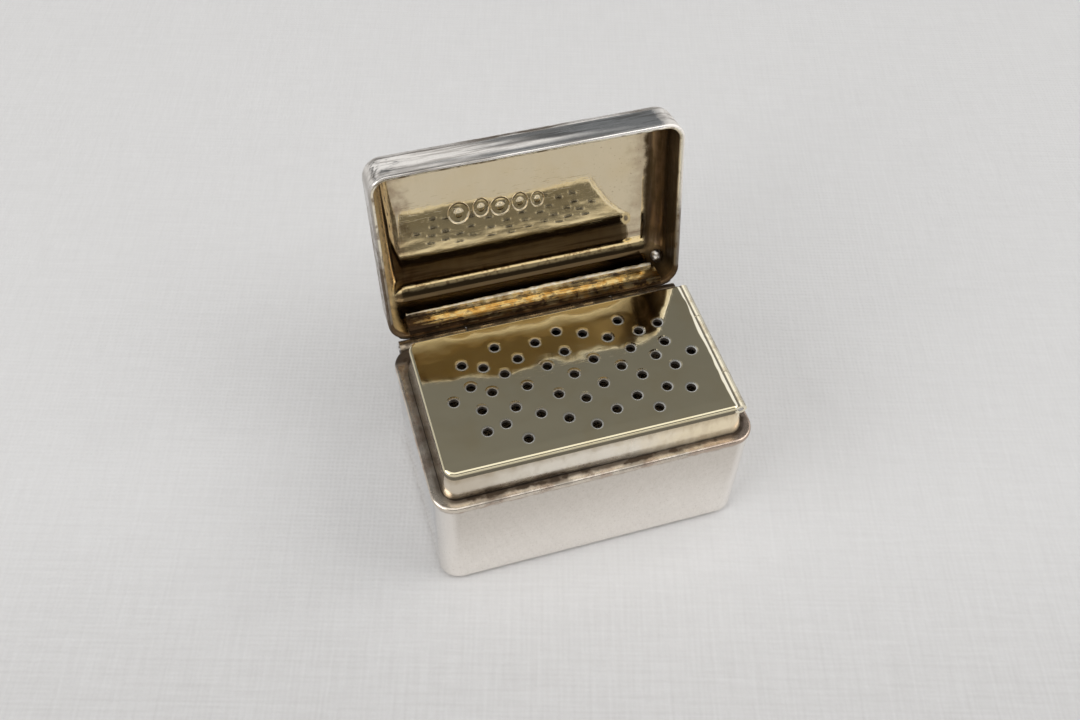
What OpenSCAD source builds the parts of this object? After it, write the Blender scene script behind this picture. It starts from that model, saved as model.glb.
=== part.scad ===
// Silver vinaigrette: a small box with a hinged lid, a gilt inside and, on a raised collar,
// a hinged pierced grille that holds a scented sponge down. It is drawn with the lid open.
// Millimetres. X runs along the width, Y from the front to the lid hinge, Z up from the base.

/* [Case] */
// Outside width
case_w = 32; // [24:0.5:44]
// Outside depth, front to back
case_d = 19.9; // [17:0.1:28]
// Height of the body up to the ledge that the lid closes on
body_h = 13.95; // [11:0.05:20]
// Radius of the four upright corners
corner_r = 2.2; // [2.1:0.1:3]
// Radius of the rounded edge round the base
base_edge_r = 0.8; // [0.6:0.1:2]
// Straight upturned edge of the base above its rounding
base_skirt = 1.2; // [0.4:0.1:2]
// Thickness of the silver sheet
sheet_t = 0.5; // [0.35:0.05:0.7]

/* [Ledge and collar] */
// How far the grille lies in from the front and side walls
grille_in = 1.3; // [1.1:0.1:2]
// How far the grille lies in from the back wall, in front of the lid hinge
grille_back_in = 2.4; // [2:0.1:3.5]
// Thickness of the ledge
ledge_t = 0.6; // [0.4:0.05:1]
// How far the rounded rim of the ledge stands out past the walls
rim_out = 0.12; // [0.05:0.01:0.25]
// Height of the collar and its grille above the ledge
collar_h = 3.8; // [2.6:0.1:6]
// How far the collar reaches down below the ledge
collar_foot = 1.6; // [0.8:0.1:3]
// How far the grille stands out past the collar
grille_over = 0.15; // [0.05:0.05:0.3]
// Room between the foot of the collar and the walls of the shut lid
collar_gap = 0.25; // [0.15:0.05:0.5]

/* [Lid] */
// Angle that the lid is open
lid_open = 101.5; // [0:0.5:101.5]
// How far the lid stands in from the walls of the body
lid_in = 0.2; // [0:0.05:0.3]
// Room between the grille and the inside of the shut lid
headroom = 1; // [0.6:0.1:3]
// Radius of the rounded edge round the top
lid_edge_r = 1.9; // [1:0.1:1.9]
// Straight turned-down edge of the lid panel below its rounding
lid_skirt = 0.5; // [0.3:0.1:1]
// Gap under the lip of the shut lid
lip_gap = 0.03; // [0.02:0.01:0.1]

/* [Lid hinge] */
// Outside radius of the hinge tubes
hinge_r = 0.9; // [0.75:0.05:1.1]
// Radius of the hinge pin
hinge_pin_r = 0.4; // [0.25:0.05:0.55]
// How far the hinge line stands out past the back wall
hinge_out = 0.42; // [0.3:0.02:0.6]
// How far the hinge line lies below the ledge
hinge_drop = 0.63; // [0.5:0.01:0.7]
// Distance from each side of the case to the end of the hinge
hinge_inset = 0.9; // [0.6:0.1:2]
// Length of each end tube
hinge_end_l = 7.1; // [4:0.1:9]
// Length of the plugs that close the tubes
plug_l = 0.7; // [0.4:0.1:1.2]
// How far a plug stands out of its tube
plug_out = 0.12; // [0.05:0.01:0.25]
// Height of the bearer strips behind the tubes
bearer_h = 2.6; // [1.2:0.1:2.8]
// Thickness of the bearer strips
bearer_t = 0.55; // [0.4:0.05:0.8]

/* [Grille] */
// Radius of the corners of the grille
grille_corner_r = 1.1; // [0.8:0.1:1.6]
// Depth of the turned-down edge
grille_edge_h = 0.9; // [0.75:0.05:1.2]
// Radius along the top of the turned-down edge
grille_edge_r = 0.3; // [0.1:0.05:0.3]
// Outside radius of the hinge tubes
grille_hinge_r = 0.6; // [0.5:0.05:0.7]
// How far the tubes stand out past the edge of the grille
grille_hinge_out = 0.25; // [0.05:0.05:0.3]
// Radius of the hinge pin
grille_pin_r = 0.25; // [0.15:0.05:0.3]
// Length of each end tube
grille_end_l = 4.25; // [3:0.05:5]
// Radius of the punched holes
hole_r = 0.48; // [0.3:0.02:0.5]
// Radius of the hollow burnished round each hole
dish_r = 0.72; // [0.6:0.02:0.86]
// Depth of that hollow
dish_depth = 0.1; // [0.05:0.01:0.2]
// Distance from the outermost holes to the ends of the grille
end_margin = 2.8; // [2:0.1:4]
// Distance from the outermost holes to the front and back of the grille
side_margin = 2.2; // [1.8:0.1:4]
// Shift of the pattern to the right of the middle of the grille
pattern_shift = 0.12; // [-0.3:0.02:0.3]
// Shift of the pattern to the front of the middle of the grille
pattern_front = 0.15; // [-0.3:0.05:0.3]
// Sideways skew of the pattern for each millimetre towards the front
pattern_skew = 0.04; // [0:0.01:0.1]
// How far a hole punched by hand strays from its place
hole_stray = 0.25; // [0:0.05:0.35]
// Number of holes in each column, from the middle column outwards
column_holes = [5, 4, 3, 4, 3, 4, 1];
// Place of each column, as a share of the way from the middle to the last column
column_place = [0, 0.19, 0.39, 0.54, 0.69, 0.84, 1];
// Reach of each column, as a share of the longest column's
column_reach = [1, 0.8, 0.62, 0.95, 0.59, 0.71, 0];

/* [Fits] */
// Clearance round a pin in its tube
pin_gap = 0.03; // [0.01:0.01:0.1]
// Clearance round a tube that turns in a groove, and between the ends of tubes
turn_gap = 0.1; // [0.05:0.01:0.15]
// Thickness of a soldered joint
solder_t = 0.02; // [0.01:0.01:0.05]
// Gap between the grille and the collar it lies on
grille_gap = 0.05; // [0.02:0.01:0.1]

/* [Sponge] */
// Clearance round the sponge
sponge_gap = 0.3; // [0.2:0.1:1]
// Room between the sponge and the grille
sponge_room = 1; // [0.9:0.1:3]
// Radius of the edges of the sponge
sponge_r = 1.5; // [0.5:0.1:2]

/* [Hidden] */
$fn = 64;
// Overshoot of a cut past the face it opens
past = 0.5;

// Seeds of the stray across and along the columns
stray_x_seed = 66759;
stray_y_seed = 943636;

// Colours of the silver, the gilding, the steel pins and the sponge
silver = [0.86, 0.86, 0.84];
gilt = [0.83, 0.68, 0.36];
steel = [0.55, 0.55, 0.56];
sponge_tan = [0.55, 0.42, 0.24];

// Lid: its lip and its top when it is shut, and the line that it turns on
lip_z = body_h + lip_gap;
lid_top_z = body_h + collar_h + headroom + sheet_t;
lid_h = lid_top_z - lip_z;
lid_panel_h = lid_edge_r + lid_skirt;
hinge_y = case_d / 2 + hinge_out;
hinge_z = body_h - hinge_drop;
hinge_l = case_w - 2 * hinge_inset;
hinge_mid_l = hinge_l - 2 * hinge_end_l - 2 * turn_gap;
bearer_l = case_w - 2 * corner_r;
lid_w = case_w - 2 * lid_in;
lid_d = case_d - 2 * lid_in;
lid_corner_r = corner_r - lid_in;

// Base and walls
base_h = base_edge_r + base_skirt;
inner_corner_r = corner_r - sheet_t;

// Grille: its outline, its middle and its height
grille_w = case_w - 2 * grille_in;
grille_d = case_d - grille_in - grille_back_in;
grille_y = (grille_in - grille_back_in) / 2;
grille_z = body_h + collar_h;
grille_axis_x = grille_w / 2 + grille_hinge_out - grille_hinge_r;
grille_axis_z = grille_z - grille_hinge_r;
grille_hinge_l = grille_d - 2 * grille_over;
grille_mid_l = grille_hinge_l - 2 * grille_end_l - 2 * turn_gap;
// The sheet ends over the tubes where it is still this thick
feather_t = 0.12;
grille_sheet_x = grille_axis_x - sqrt(pow(grille_hinge_r, 2) - pow(grille_hinge_r - feather_t, 2));

// Collar under the grille: its outline at the top, and how far it spreads from there to its foot
collar_w = grille_w - 2 * grille_over;
collar_d = grille_d - 2 * grille_over;
collar_corner_r = grille_corner_r - grille_over;
collar_flare = max(grille_in + grille_over - lid_in - sheet_t - collar_gap, 0);
collar_top_z = grille_z - grille_edge_h - grille_gap;
collar_low_z = body_h - ledge_t - collar_foot;

// What a rounding of radius r takes off a square corner at the origin
module rounding_waste(r) {
    difference() {
        translate([-past, -past]) square(r + past);
        translate([r, r]) circle(r);
    }
}

// Upright half section of a slab, from its middle line out to its rounded edge
module half_section(w, h, low_r, high_r) {
    difference() {
        square([w, h]);
        if (low_r > 0) translate([w, 0]) mirror([1, 0]) rounding_waste(low_r);
        if (high_r > 0) translate([w, h]) rotate(180) rounding_waste(high_r);
    }
}

// Sweeps an upright section round a rectangle; the section starts at the middle of its corners
module swept(w, d, r) {
    for (turn = [0, 180]) rotate(turn) {
        translate([0, d / 2 - r, 0]) rotate([90, 0, 90]) linear_extrude(w - 2 * r, center = true)
            children();
        translate([w / 2 - r, 0, 0]) rotate([90, 0, 0]) linear_extrude(d - 2 * r, center = true)
            children();
        for (side = [0, 1]) mirror([0, side, 0])
            translate([w / 2 - r, d / 2 - r, 0]) rotate_extrude(angle = 90) children();
    }
}

// Slab with round upright corners and, if wanted, rounded lower and upper edges
module slab(w, d, h, r, low_r = 0, high_r = 0) {
    for (turn = [0, 180]) rotate(turn) {
        rotate([90, 0, 90]) linear_extrude(w - 2 * r, center = true)
            half_section(d / 2, h, low_r, high_r);
        translate([w / 2 - r, 0, 0]) rotate([90, 0, 0]) linear_extrude(d - 2 * r, center = true)
            half_section(r, h, low_r, high_r);
        for (side = [0, 1]) mirror([0, side, 0])
            translate([w / 2 - r, d / 2 - r, 0]) rotate_extrude(angle = 90)
                half_section(r, h, low_r, high_r);
    }
}

// Tube along X or Y, by the way it is turned, with its middle at the origin
module tube(r, bore_r, l) {
    difference() {
        cylinder(r = r, h = l, center = true);
        cylinder(r = bore_r, h = l + 2 * past, center = true);
    }
}

// Places a piece that is drawn along Z on the line of the lid hinge, x along it
module on_lid_hinge(x) {
    translate([x, hinge_y, hinge_z]) rotate([0, 90, 0]) children();
}

// Places a piece that is drawn along Z on the line of the grille hinge, y along it
module on_grille_hinge(y) {
    translate([grille_axis_x, grille_y + y, grille_axis_z]) rotate([90, 0, 0]) children();
}

// Groove for the lid hinge: gaps round the end tubes and round the middle tube
module lid_hinge_groove(end_gap, mid_gap) {
    for (side = [-1, 1]) on_lid_hinge(side * (hinge_l - hinge_end_l) / 2)
        cylinder(r = hinge_r + end_gap, h = hinge_end_l + 2 * turn_gap, center = true);
    on_lid_hinge(0) cylinder(r = hinge_r + mid_gap, h = hinge_mid_l + 2 * turn_gap, center = true);
}

// Groove for the grille hinge: gaps round the end tubes and round the middle tube
module grille_hinge_groove(end_gap, mid_gap) {
    for (side = [-1, 1]) on_grille_hinge(side * (grille_hinge_l - grille_end_l) / 2)
        cylinder(r = grille_hinge_r + end_gap, h = grille_end_l + 2 * turn_gap, center = true);
    on_grille_hinge(0)
        cylinder(r = grille_hinge_r + mid_gap, h = grille_mid_l + 2 * turn_gap, center = true);
}

// Turns what is drawn with the lid shut to the open lid
module opened() {
    translate([0, hinge_y, hinge_z]) rotate([-lid_open, 0, 0]) translate([0, -hinge_y, -hinge_z])
        children();
}

// Base: a shallow pan with a rounded edge
module base_pan() {
    color(silver) difference() {
        slab(case_w, case_d, base_h, corner_r, low_r = base_edge_r);
        translate([0, 0, sheet_t])
            slab(case_w - 2 * sheet_t, case_d - 2 * sheet_t, base_h, inner_corner_r,
                low_r = max(base_edge_r - sheet_t, 0.1));
    }
}

// Walls of the body: one strip bent round and soldered to the base
module body_wall() {
    wall_h = body_h - ledge_t - base_h;
    color(silver) difference() {
        translate([0, 0, base_h]) slab(case_w, case_d, wall_h, corner_r);
        translate([0, 0, base_h - past])
            slab(case_w - 2 * sheet_t, case_d - 2 * sheet_t, wall_h + 2 * past, inner_corner_r);
        lid_hinge_groove(solder_t, turn_gap);
    }
}

// Ledge: a flat frame with a rounded rim, from the walls to the collar
module ledge_frame() {
    foot_out = collar_flare + solder_t;
    color(silver) difference() {
        translate([0, 0, body_h - ledge_t])
            slab(case_w + 2 * rim_out, case_d + 2 * rim_out, ledge_t, corner_r + rim_out,
                low_r = ledge_t * 0.35, high_r = ledge_t * 0.45);
        translate([0, grille_y, body_h - ledge_t - past])
            slab(collar_w + 2 * foot_out, collar_d + 2 * foot_out, ledge_t + 2 * past,
                collar_corner_r + foot_out);
        lid_hinge_groove(solder_t, turn_gap);
    }
}

// Section of the collar: upright below the ledge, then leaning in so that the lid swings past it
module collar_section() {
    top = collar_corner_r;
    foot = collar_corner_r + collar_flare;
    polygon([
        [foot, collar_low_z], [foot, body_h], [top, collar_top_z],
        [top - sheet_t, collar_top_z], [foot - sheet_t, body_h], [foot - sheet_t, collar_low_z]
    ]);
}

// Collar: a strip bent to a frame, which carries the grille
module collar() {
    color(gilt) difference() {
        translate([0, grille_y, 0]) swept(collar_w, collar_d, collar_corner_r) collar_section();
        grille_hinge_groove(solder_t, turn_gap);
    }
}

// Bearer of the body's hinge tubes, inside the back wall under the ledge
module body_bearer() {
    color(silver) difference() {
        translate([-bearer_l / 2, case_d / 2 - sheet_t - bearer_t, body_h - ledge_t - bearer_h])
            cube([bearer_l, bearer_t, bearer_h]);
        lid_hinge_groove(solder_t, turn_gap);
    }
}

// End tube of the lid hinge, soldered to the body: side is -1 at the left and 1 at the right
module body_knuckle(side) {
    color(silver) on_lid_hinge(side * (hinge_l - hinge_end_l) / 2)
        tube(hinge_r, hinge_pin_r + pin_gap, hinge_end_l);
}

module body_knuckle_left() { body_knuckle(-1); }

module body_knuckle_right() { body_knuckle(1); }

// Pin of the lid hinge, between the two plugs
module lid_hinge_pin() {
    l = hinge_l - 2 * (plug_l - plug_out) - 2 * solder_t;
    color(steel) on_lid_hinge(0) cylinder(r = hinge_pin_r, h = l, center = true);
}

// Plug that closes the end of the hinge
module pin_plug(side) {
    color(silver) on_lid_hinge(side * (hinge_l / 2 + plug_out - plug_l / 2))
        cylinder(r = hinge_pin_r + pin_gap - solder_t, h = plug_l, center = true);
}

module pin_plug_left() { pin_plug(-1); }

module pin_plug_right() { pin_plug(1); }

// Lid panel: the flat top with its rounded edge
module lid_panel() {
    color(silver) opened() difference() {
        translate([0, 0, lid_top_z - lid_panel_h])
            slab(lid_w, lid_d, lid_panel_h, lid_corner_r, high_r = lid_edge_r);
        translate([0, 0, lid_top_z - lid_panel_h - past])
            slab(lid_w - 2 * sheet_t, lid_d - 2 * sheet_t, lid_panel_h + past - sheet_t,
                lid_corner_r - sheet_t, high_r = lid_edge_r - sheet_t);
    }
}

// Lid band: the straight walls from the panel down to the lip
module lid_band() {
    h = lid_h - lid_panel_h;
    color(silver) opened() difference() {
        translate([0, 0, lip_z]) slab(lid_w, lid_d, h, lid_corner_r);
        translate([0, 0, lip_z - past])
            slab(lid_w - 2 * sheet_t, lid_d - 2 * sheet_t, h + 2 * past, lid_corner_r - sheet_t);
        lid_hinge_groove(turn_gap, solder_t);
    }
}

// Bearer of the lid's hinge tube, inside the back wall of the lid
module lid_bearer() {
    color(gilt) opened() difference() {
        translate([-bearer_l / 2, lid_d / 2 - sheet_t - bearer_t, lip_z])
            cube([bearer_l, bearer_t, bearer_h]);
        lid_hinge_groove(turn_gap, solder_t);
    }
}

// Middle tube of the lid hinge, soldered to the lid
module lid_knuckle() {
    color(silver) opened() on_lid_hinge(0) tube(hinge_r, hinge_pin_r + pin_gap, hinge_mid_l);
}

// Number of holes in the columns inside a column, with both sides
function holes_inside(column) = column == 0 ? 0
    : holes_inside(column - 1) + (column == 1 ? 1 : 2) * column_holes[column - 1];

// Pierced pattern: columns of holes to the left and the right of the middle, punched by hand
module piercing() {
    reach_x = grille_w / 2 - end_margin;
    reach_y = grille_d / 2 - side_margin;
    hole_count = holes_inside(len(column_holes));
    stray_x = rands(-hole_stray, hole_stray, hole_count, stray_x_seed);
    stray_y = rands(-hole_stray, hole_stray, hole_count, stray_y_seed);
    for (column = [0 : len(column_holes) - 1])
        for (side = column == 0 ? [1] : [-1, 1]) {
            count = column_holes[column];
            for (row = [0 : count - 1]) {
                along = count > 1 ? 2 * row / (count - 1) - 1 : 0;
                y = along * column_reach[column] * reach_y;
                x = side * column_place[column] * reach_x + pattern_shift - pattern_skew * y;
                hole = holes_inside(column) + (column > 0 && side > 0 ? count : 0) + row;
                translate([x + stray_x[hole], y - pattern_front + stray_y[hole], 0]) children();
            }
        }
}

// One punched hole with the hollow burnished round it, its top at the origin
module punched_hole() {
    slope = (dish_r - hole_r) / dish_depth;
    translate([0, 0, -sheet_t - past]) cylinder(r = hole_r, h = sheet_t + 2 * past);
    translate([0, 0, -dish_depth])
        cylinder(r1 = hole_r, r2 = dish_r + slope * past, h = dish_depth + past);
}

// Grille: a sheet with a turned-down edge, pierced, and cut back round its hinge
module grille_plate() {
    color(gilt) difference() {
        translate([0, grille_y, grille_z - grille_edge_h])
            slab(grille_w, grille_d, grille_edge_h, grille_corner_r, high_r = grille_edge_r);
        translate([0, grille_y, grille_z - grille_edge_h - past])
            slab(grille_w - 2 * sheet_t, grille_d - 2 * sheet_t, grille_edge_h + past - sheet_t,
                grille_corner_r - sheet_t);
        translate([grille_sheet_x, grille_y - grille_d, grille_z - 2 * grille_edge_h])
            cube([grille_w, 2 * grille_d, 4 * grille_edge_h]);
        translate([grille_axis_x - grille_hinge_r - turn_gap, grille_y - grille_d,
            grille_z - sheet_t - 2 * grille_edge_h])
            cube([grille_w, 2 * grille_d, 2 * grille_edge_h]);
        grille_hinge_groove(turn_gap, solder_t);
        translate([0, grille_y, grille_z]) piercing() punched_hole();
    }
}

// Middle tube of the grille hinge, soldered under the edge of the grille
module grille_knuckle() {
    color(gilt) on_grille_hinge(0) tube(grille_hinge_r, grille_pin_r + pin_gap, grille_mid_l);
}

// End tube of the grille hinge, soldered on the collar: side is -1 at the back, 1 at the front
module collar_knuckle(side) {
    color(gilt) on_grille_hinge(-side * (grille_hinge_l - grille_end_l) / 2)
        tube(grille_hinge_r, grille_pin_r + pin_gap, grille_end_l);
}

module collar_knuckle_front() { collar_knuckle(1); }

module collar_knuckle_back() { collar_knuckle(-1); }

// Pin of the grille hinge, filed flush with the end tubes
module grille_hinge_pin() {
    color(steel) on_grille_hinge(0) cylinder(r = grille_pin_r, h = grille_hinge_l, center = true);
}

// Sponge that fills the body under the grille
module sponge() {
    low_z = sheet_t + sponge_gap;
    h = grille_z - sheet_t - sponge_room - low_z;
    w = collar_w - 2 * sheet_t - 2 * sponge_gap;
    d = collar_d - 2 * sheet_t - 2 * sponge_gap;
    color(sponge_tan) translate([0, grille_y, low_z])
        slab(w, d, h, sponge_r, low_r = sponge_r * 0.9, high_r = sponge_r * 0.9);
}

base_pan();
body_wall();
ledge_frame();
collar();
body_bearer();
body_knuckle_left();
body_knuckle_right();
lid_hinge_pin();
pin_plug_left();
pin_plug_right();
lid_panel();
lid_band();
lid_bearer();
lid_knuckle();
grille_plate();
grille_knuckle();
collar_knuckle_front();
collar_knuckle_back();
grille_hinge_pin();
sponge();
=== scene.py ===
# %% [markdown]
# # A silver vinaigrette
#
# A vinaigrette is a small silver box for a scented sponge. The lid is hinged at the back, the
# inside is gilt so that the vinegar does not eat the silver, and a pierced grille, itself hinged,
# holds the sponge down. This lesson takes the solids of the box as they were drawn, gives every
# surface its finish, adds the small things that a silversmith leaves behind, and lights it all.
#
# The first cell loads the solids. They are in metres, each at its own place, and stay there.

# %% Load the solids
import math

import bmesh
import bpy
from mathutils import Matrix, Vector, noise


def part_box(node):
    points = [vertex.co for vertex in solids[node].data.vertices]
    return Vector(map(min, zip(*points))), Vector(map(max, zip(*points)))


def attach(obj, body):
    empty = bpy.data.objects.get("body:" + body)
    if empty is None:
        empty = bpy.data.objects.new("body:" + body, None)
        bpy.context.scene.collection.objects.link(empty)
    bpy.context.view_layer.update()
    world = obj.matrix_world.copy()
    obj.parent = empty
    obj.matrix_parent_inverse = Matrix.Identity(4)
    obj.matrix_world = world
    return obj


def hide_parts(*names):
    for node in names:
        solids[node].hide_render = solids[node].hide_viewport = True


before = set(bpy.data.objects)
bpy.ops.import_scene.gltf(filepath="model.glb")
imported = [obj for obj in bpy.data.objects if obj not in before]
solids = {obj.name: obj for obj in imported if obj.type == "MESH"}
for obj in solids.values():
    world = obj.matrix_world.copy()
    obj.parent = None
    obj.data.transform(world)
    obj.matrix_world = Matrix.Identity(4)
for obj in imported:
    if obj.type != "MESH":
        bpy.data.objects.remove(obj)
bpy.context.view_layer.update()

MM = 0.001


# %% [markdown]
# ## The camera
#
# The picture was taken from above and a little from the left. A camera is three directions and a
# place: its back points away from the subject, and right and up follow from it. Working them out
# from the angles keeps the numbers few, and a slight roll completes the hand-held look.

# %% Camera
FOCAL_LENGTH, PICTURE_WIDTH = 1136.12, 1080.0
SENSOR_WIDTH = 36.0
DISTANCE = 118.25 * MM
turn, height_angle, roll = (math.radians(angle) for angle in (-18.15, 52.26, 2.0))
back = Vector((math.sin(turn) * math.cos(height_angle), -math.cos(turn) * math.cos(height_angle),
               math.sin(height_angle)))
side = Vector((0, 0, 1)).cross(back).normalized()
top = back.cross(side)
right = math.cos(roll) * side + math.sin(roll) * top
up = -math.sin(roll) * side + math.cos(roll) * top
middle = Vector((0, 0, 8 * MM))
eye = middle - 2.88 * MM * right + 6.90 * MM * up + DISTANCE * back

view = bpy.data.cameras.new("view")
view.sensor_width = SENSOR_WIDTH
view.lens = FOCAL_LENGTH * SENSOR_WIDTH / PICTURE_WIDTH
view.clip_start, view.clip_end = 0.005, 20.0
camera = bpy.data.objects.new("view", view)
camera.matrix_world = Matrix((
    (right.x, up.x, back.x, eye.x),
    (right.y, up.y, back.y, eye.y),
    (right.z, up.z, back.z, eye.z),
    (0, 0, 0, 1)))
bpy.context.scene.collection.objects.link(camera)
bpy.context.scene.camera = camera
print("eye in mm:", tuple(round(c / MM, 1) for c in eye))

# %% [markdown]
# ## Sums in the shader
#
# A finish is mostly arithmetic: a mask times a colour, one minus a mask. Wiring Math nodes by hand
# hides that arithmetic, so a small class wraps a socket and lets Python's own signs add the nodes.
# Any other node comes from one method, add, which sets the node's choices first and its sockets
# after them.

# %% Wires
class Wire:
    """A socket in a node tree that takes part in sums."""

    def __init__(self, tree, socket=None):
        self.tree = tree
        self.socket = socket

    def add(self, kind, choices=None, sockets=None, out=0):
        """A new node of that kind; returns the wire that leaves it at the socket out."""
        node = self.tree.nodes.new(kind)
        for name, value in (choices or {}).items():
            if name == "stops":
                ramp = node.color_ramp
                while len(ramp.elements) < len(value):
                    ramp.elements.new(0.5)
                for element, (place, colour) in zip(ramp.elements, value):
                    element.position, element.color = place, colour
            else:
                setattr(node, name, value)
        for key, value in (sockets or {}).items():
            if isinstance(value, Wire):
                self.tree.links.new(value.socket, node.inputs[key])
            else:
                node.inputs[key].default_value = value
        return Wire(self.tree, node.outputs[out])

    def sum(self, operation, *terms):
        """A Math node over the terms."""
        return self.add("ShaderNodeMath", {"operation": operation}, dict(enumerate(terms)))

    def __add__(self, other):
        return self.sum("ADD", self, other)

    def __sub__(self, other):
        return self.sum("SUBTRACT", self, other)

    def __rsub__(self, other):
        return self.sum("SUBTRACT", other, self)

    def __mul__(self, other):
        return self.sum("MULTIPLY", self, other)

    def __abs__(self):
        return self.sum("ABSOLUTE", self)

    def __pow__(self, other):
        return self.sum("POWER", self, other)

    __radd__, __rmul__ = __add__, __mul__


# %% [markdown]
# The next helpers are the words that the finishes are written in: a place on the piece, soft noise,
# a smooth step from 0 to 1, and coats of colour, each laid over the last through its own mask.

# %% Words for finishes
MIX_FACTOR, MIX_FIRST, MIX_SECOND, MIX_RESULT = 0, 6, 7, 2


def vector(wire, operation, *terms):
    """A Vector Math node on a wire."""
    sockets = dict(enumerate((wire, *terms)))
    if operation == "SCALE":
        sockets = {0: wire, "Scale": terms[0]}
    out = "Value" if operation == "LENGTH" else "Vector"
    return wire.add("ShaderNodeVectorMath", {"operation": operation}, sockets, out)


def place_mm(wire):
    """The place on a piece, in millimetres of the box's own frame."""
    return vector(wire.add("ShaderNodeTexCoord", out="Object"), "SCALE", 1 / MM)


def axes(wire):
    """The three numbers of a place."""
    node = wire.tree.nodes.new("ShaderNodeSeparateXYZ")
    wire.tree.links.new(wire.socket, node.inputs[0])
    return [Wire(wire.tree, socket) for socket in node.outputs]


def cloud(place, scale, detail=3.0, rough=0.55, stretch=None):
    """Soft noise from 0 to 1; scale is in blots to the millimetre."""
    if stretch:
        place = vector(place, "MULTIPLY", stretch)
    return place.add("ShaderNodeTexNoise", None,
                     {"Vector": place, "Scale": scale, "Detail": detail, "Roughness": rough})


def rise(value, low, high):
    """0 below low, 1 above high, with a smooth way between; low may be the larger."""
    return value.add("ShaderNodeMapRange", {"interpolation_type": "SMOOTHSTEP"},
                     {"Value": value, "From Min": low, "From Max": high})


def tint(mask, first, second):
    """first where the mask is 0, second where it is 1."""
    first, second = (c if isinstance(c, Wire) else (*c, 1.0) for c in (first, second))
    return mask.add("ShaderNodeMix", {"data_type": "RGBA"},
                    {MIX_FACTOR: mask, MIX_FIRST: first, MIX_SECOND: second}, MIX_RESULT)


def coats(ground, *layers):
    """A ground colour under layers; each layer is a mask and a colour."""
    for mask, colour in layers:
        ground = tint(mask, ground, colour)
    return ground


def outline_distance(place, half_x, half_y, corner, middle_y):
    """Distance in plan from a rectangle with round corners."""
    flat = vector(vector(place, "SUBTRACT", (0, middle_y, 0)), "MULTIPLY", (1, 1, 0))
    out = vector(vector(flat, "ABSOLUTE"), "SUBTRACT", (half_x - corner, half_y - corner, 0))
    return vector(vector(out, "MAXIMUM", (0, 0, 0)), "LENGTH") - corner


def new_finish(name):
    """An empty material: the material, a wire of its tree and its Principled shader."""
    material = bpy.data.materials.new(name)
    material.use_nodes = True
    tree = material.node_tree
    tree.nodes.clear()
    shader = tree.nodes.new("ShaderNodeBsdfPrincipled")
    tree.links.new(shader.outputs[0], tree.nodes.new("ShaderNodeOutputMaterial").inputs[0])
    return material, Wire(tree), shader


def plug(shader, colour=None, roughness=None, height=None, metallic=1.0):
    """Wires or numbers to the shader; height is a relief in millimetres."""
    tree = shader.id_data
    for name, value in (("Base Color", colour), ("Roughness", roughness), ("Metallic", metallic)):
        if isinstance(value, Wire):
            tree.links.new(value.socket, shader.inputs[name])
        elif value is not None:
            shader.inputs[name].default_value = value
    if height is not None:
        bump = height.add("ShaderNodeBump", None,
                          {"Strength": 1.0, "Distance": MM, "Height": height})
        tree.links.new(bump.socket, shader.inputs["Normal"])


def wear(material, *names):
    """Gives solids a finish."""
    for name in names:
        solids[name].data.materials.clear()
        solids[name].data.materials.append(material)
    print(material.name, "on", ", ".join(names))


# %% [markdown]
# ## The silver of the body
#
# Old polished silver is a mirror, but a tired one: the sheet is a little wavy from the hammer, fine
# hairlines run every way from two centuries of rubbing, pits stay dark, and brown tarnish sits
# where no cloth reaches, below the ledge. One function gives this relief to the base, the walls and
# the outside of the lid. Light and shade are painted into the walls' colour as well: a dark line of
# contact shadow along the foot, a darkening towards the top and a cooler one on the left side,
# vertical streaks for the reflected weave of the cloth, and a highlight on the rounded corners.

# %% Body silver
SILVER = (0.95, 0.91, 0.86)
TARNISH_AND_SHADOW = (0.34, 0.25, 0.17)
WARM_DULL_AND_SHADE, COOL_DULL_AND_SHADE = (0.50, 0.45, 0.39), (0.40, 0.42, 0.46)


def hairlines(place, across):
    """Fine scratches, long along one direction: 0 or 1."""
    lines = cloud(place, 1.0, 2.0, 0.5, across)
    return rise(lines, 0.60, 0.72)


def silver_relief(place, wavy=0.030):
    """The wavy sheet with its scratches, in millimetres."""
    waves = cloud(place, 0.16, 1.0, 0.4)
    ripple = cloud(place, 0.7, 2.0, 0.5)
    scratches = hairlines(place, (0.6, 9.0, 14.0)) + hairlines(place, (12.0, 0.9, 2.0))
    return waves * wavy + ripple * 0.0025 - scratches * 0.0004


body_silver, wire, shader = new_finish("body_silver")
place = place_mm(wire)
x, y, z = axes(place)
blots = cloud(place, 0.9, 4.0, 0.6)
under_ledge = rise(z + blots * 0.8, 13.35, 13.9)
# painted contact shadow: a dark line along the foot
foot = rise(z - blots * 0.2, 0.40, 0.12)
pits = rise(cloud(place, 5.0, 2.0, 0.5), 0.64, 0.72)
# stain: tarnish below the ledge and in the pits, with the painted contact shadow of the foot
stain = 0.8 * under_ledge + 0.6 * foot + 0.3 * pits
# painted reflection: vertical streaks that stand for the cloth's weave mirrored in the walls
weave_reflection = cloud(place, 1.0, 4.0, 0.70, (6.5, 6.5, 2.2))
# painted shade: the walls darken towards the top and, cooler, on the left side, mixed with random
# mottle
left_end = rise(0 - x, 14.8, 15.9)
dull_and_shade = (0.58 * rise(z + blots * 3.0, 2.5, 15.0)
        + 0.12 * rise(cloud(place, 3.0, 3.0, 0.7), 0.45, 0.75)
        + 0.11 * rise(weave_reflection, 0.46, 0.66) + 0.25 * left_end)
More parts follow.
